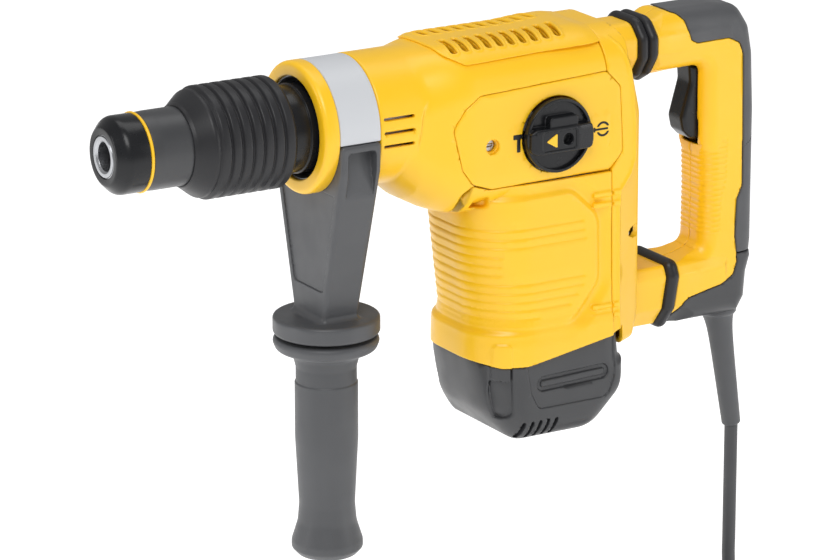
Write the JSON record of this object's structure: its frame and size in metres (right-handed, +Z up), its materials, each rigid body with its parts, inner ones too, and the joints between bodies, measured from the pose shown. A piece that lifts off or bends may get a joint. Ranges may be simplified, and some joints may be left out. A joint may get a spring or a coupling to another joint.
{
  "type": "demolition hammer",
  "caption": "Corded demolition hammer with a slotted bit socket, ribbed pull-back locking sleeve, swivelling side handle, selector dial, vertical motor and sprung D-shaped rear handle.",
  "frame": {"origin": "centre of the bit socket's mouth, on the hammer axis", "axes": "-X is the way the bit leaves, +X is towards the rear handle, +Z is up and -Y is the side with the selector dial"},
  "size_m": [0.4802, 0.1528, 0.465],
  "materials": {
    "yellow_shell": "fine moulded texture, satin",
    "black_plastic": "glossy moulded",
    "dark_plastic": "satin moulded, fine spark texture",
    "grey_plastic": "satin glass-filled moulding",
    "rubber_boot": "soft matt rubber",
    "grip_rubber": "soft overmoulded rubber",
    "light_band": "light grey satin",
    "steel": "ground",
    "aluminium": "die cast",
    "lamination": "stacked sheets",
    "copper": "enamelled copper",
    "brass": "plain",
    "carbon": "pressed carbon",
    "seal": "nitrile",
    "cord_rubber": "satin rubber sheath"
  },
  "bodies": {
    "housing": {"nose_tube": "dark_plastic", "holder_bearing": "brass", "barrel_tube": "aluminium", "barrel_collar": "yellow_shell", "gear_housing": "yellow_shell", "vent_bonnet": "yellow_shell", "selector_panel": "yellow_shell", "gear_case": "aluminium", "cylinder_tube": "steel", "ball_bearings": "steel", "motor_housing": "yellow_shell", "motor_cap": "dark_plastic", "stator_core": "lamination", "field_coils": "copper", "brush_holders": "brass", "carbon_brushes": "carbon", "end_bracket": "dark_plastic", "electronics_module": "dark_plastic", "rear_housing": "yellow_shell", "housing_screws": "steel", "upper_bellows": "rubber_boot", "lower_bellows": "rubber_boot"},
    "tool_holder": {"tool_holder_tube": "steel", "nose_cap": "black_plastic", "nose_ring": "yellow_shell", "lock_rollers": "steel", "sleeve_spring": "steel"},
    "locking_sleeve": {"front_sleeve": "dark_plastic", "lock_boot": "rubber_boot"},
    "impact_bolt": {"impact_bolt": "steel"},
    "ram": {"ram": "steel", "ram_seal": "seal"},
    "piston": {"piston": "aluminium", "piston_seal": "seal", "piston_pin": "steel"},
    "connecting_rod": {"connecting_rod": "steel"},
    "crank": {"crank_gear": "steel"},
    "armature": {"armature_shaft": "steel", "armature_core": "lamination", "commutator": "copper", "cooling_fan": "dark_plastic"},
    "mode_dial": {"mode_dial": "black_plastic", "dial_pointer": "yellow_shell"},
    "rear_handle": {"guide_pins": "steel", "handle_springs": "steel", "handle_left_shell": "yellow_shell", "handle_right_shell": "yellow_shell", "handle_screws": "steel", "handle_overmold": "grip_rubber", "cord_bracket": "dark_plastic", "switch_module": "dark_plastic", "strain_relief": "grip_rubber", "power_cord": "cord_rubber", "cord_coil": "cord_rubber", "mains_plug": "dark_plastic"},
    "trigger": {"trigger": "black_plastic"},
    "side_handle": {"clamp_band": "light_band", "handle_saddle": "grey_plastic"},
    "clamp_bolt": {"clamp_bolt": "steel"},
    "side_grip": {"side_grip": "grip_rubber"}
  },
  "joints": [
    {"name": "tool_holder_turn", "type": "hinge", "parent": "housing", "child": "tool_holder", "pos_m": [0.1, 0, 0], "axis": [1, 0, 0], "continuous": true},
    {"name": "sleeve_slide", "type": "slide", "parent": "tool_holder", "child": "locking_sleeve", "axis": [1, 0, 0], "range_m": [0, 0.01], "stiffness_N_per_m": 1200, "springref_m": -0.012, "deforming": ["sleeve_spring"]},
    {"name": "impact_bolt_slide", "type": "slide", "parent": "tool_holder", "child": "impact_bolt", "axis": [-1, 0, 0], "range_m": [0, 0.004]},
    {"name": "ram_slide", "type": "slide", "parent": "housing", "child": "ram", "axis": [-1, 0, 0], "range_m": [0, 0.018]},
    {"name": "piston_slide", "type": "slide", "parent": "housing", "child": "piston", "axis": [1, 0, 0], "range_m": [0, 0.03]},
    {"name": "rod_swing", "type": "hinge", "parent": "piston", "child": "connecting_rod", "pos_m": [0.245, 0, 0], "axis": [0, 0, 1], "range_deg": [-16.7, 16.7]},
    {"name": "crank_turn", "type": "hinge", "parent": "housing", "child": "crank", "pos_m": [0.312, 0, -0.03], "axis": [0, 0, 1], "continuous": true},
    {"name": "armature_turn", "type": "hinge", "parent": "housing", "child": "armature", "pos_m": [0.284, 0, -0.1], "axis": [0, 0, 1], "continuous": true},
    {"name": "mode_dial_turn", "type": "hinge", "parent": "housing", "child": "mode_dial", "pos_m": [0.2955, -0.046, -0.016], "axis": [0, 1, 0], "range_deg": [0, 180]},
    {"name": "rear_handle_slide", "type": "slide", "parent": "housing", "child": "rear_handle", "axis": [-1, 0, 0], "range_m": [0, 0.006], "stiffness_N_per_m": 14000, "springref_m": -0.004, "deforming": ["upper_bellows", "lower_bellows", "handle_springs"]},
    {"name": "trigger_pull", "type": "hinge", "parent": "rear_handle", "child": "trigger", "pos_m": [0.44, 0, -0.002], "axis": [0, -1, 0], "range_deg": [0, 10], "stiffness_Nm_per_rad": 1.2, "springref_deg": -11.46},
    {"name": "side_handle_turn", "type": "hinge", "parent": "housing", "child": "side_handle", "pos_m": [0.1565, 0, 0], "axis": [1, 0, 0], "range_deg": [-180, 180]},
    {"name": "grip_screw", "type": "hinge", "parent": "side_handle", "child": "side_grip", "pos_m": [0.1555, 0, -0.2], "axis": [0, 0, 1], "range_deg": [0, 720]},
    {"name": "clamp_bolt_draw", "type": "slide", "parent": "side_handle", "child": "clamp_bolt", "axis": [0, 0, -1], "range_m": [0, 0.00254]}
  ],
  "couplings": [
    {"joint": "armature_turn", "follows": "crank_turn", "ratio": -6},
    {"joint": "clamp_bolt_draw", "follows": "grip_screw", "m_per_rad": 0.0002}
  ]
}
